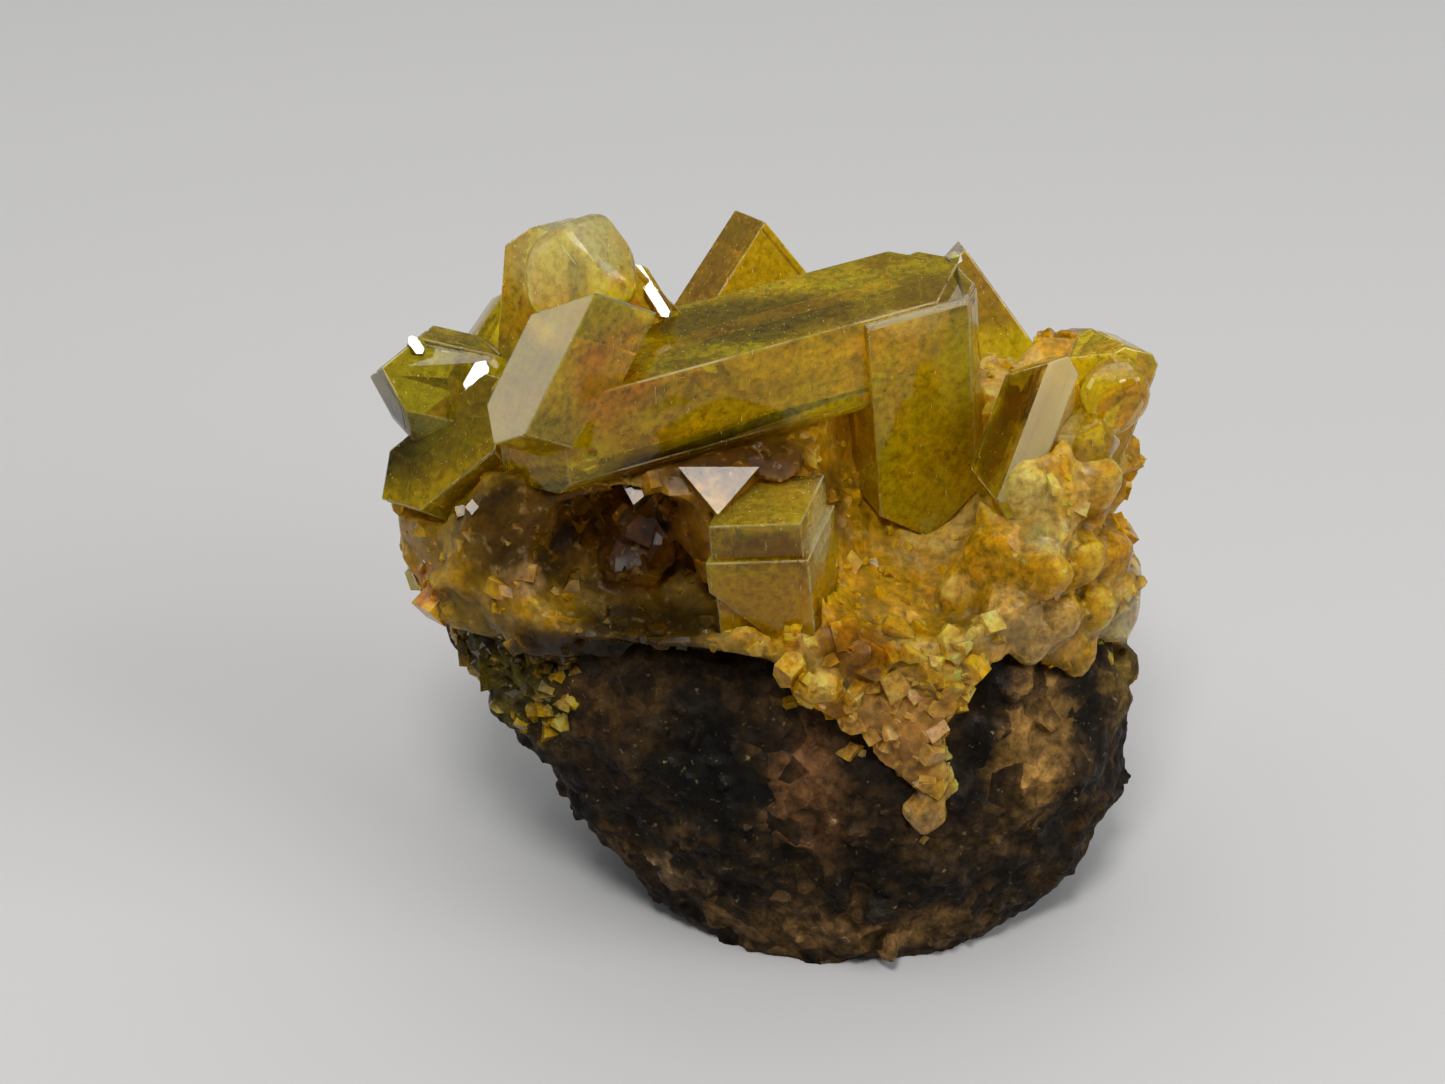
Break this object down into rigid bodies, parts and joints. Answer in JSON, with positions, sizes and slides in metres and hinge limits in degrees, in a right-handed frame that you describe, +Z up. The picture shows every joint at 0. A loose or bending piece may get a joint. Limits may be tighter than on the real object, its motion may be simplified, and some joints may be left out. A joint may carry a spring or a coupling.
{
  "type": "barite crystal cluster",
  "caption": "Golden barite crystal cluster: a long main crystal with an end block, upright and side crystals on a sparkling crust, grown on a dark rounded piece of host rock.",
  "frame": {"origin": "on the resting plane, under the middle of the cluster's bounding box", "axes": "+X to the right along the cluster's greatest width, -Y towards a viewer who has the long main crystal across the front, +Z up"},
  "size_m": [0.0536, 0.0338, 0.0507],
  "materials": {
    "golden_barite": "clear to cloudy golden-olive barite with bright flat faces",
    "barite_crust": "cloudy honey-brown barite, finely crystalline and glossy",
    "host_rock": "dull, grainy, dark brown to black rock with rusty patches"
  },
  "bodies": {
    "root": {"main_crystals": "golden_barite", "rear_point_crystal": "golden_barite", "rear_right_crystal": "golden_barite", "centre_crystal": "golden_barite", "right_crystals": "golden_barite", "left_crystals": "golden_barite", "barite_crust": "barite_crust", "host_rock": "host_rock"}
  },
  "joints": []
}
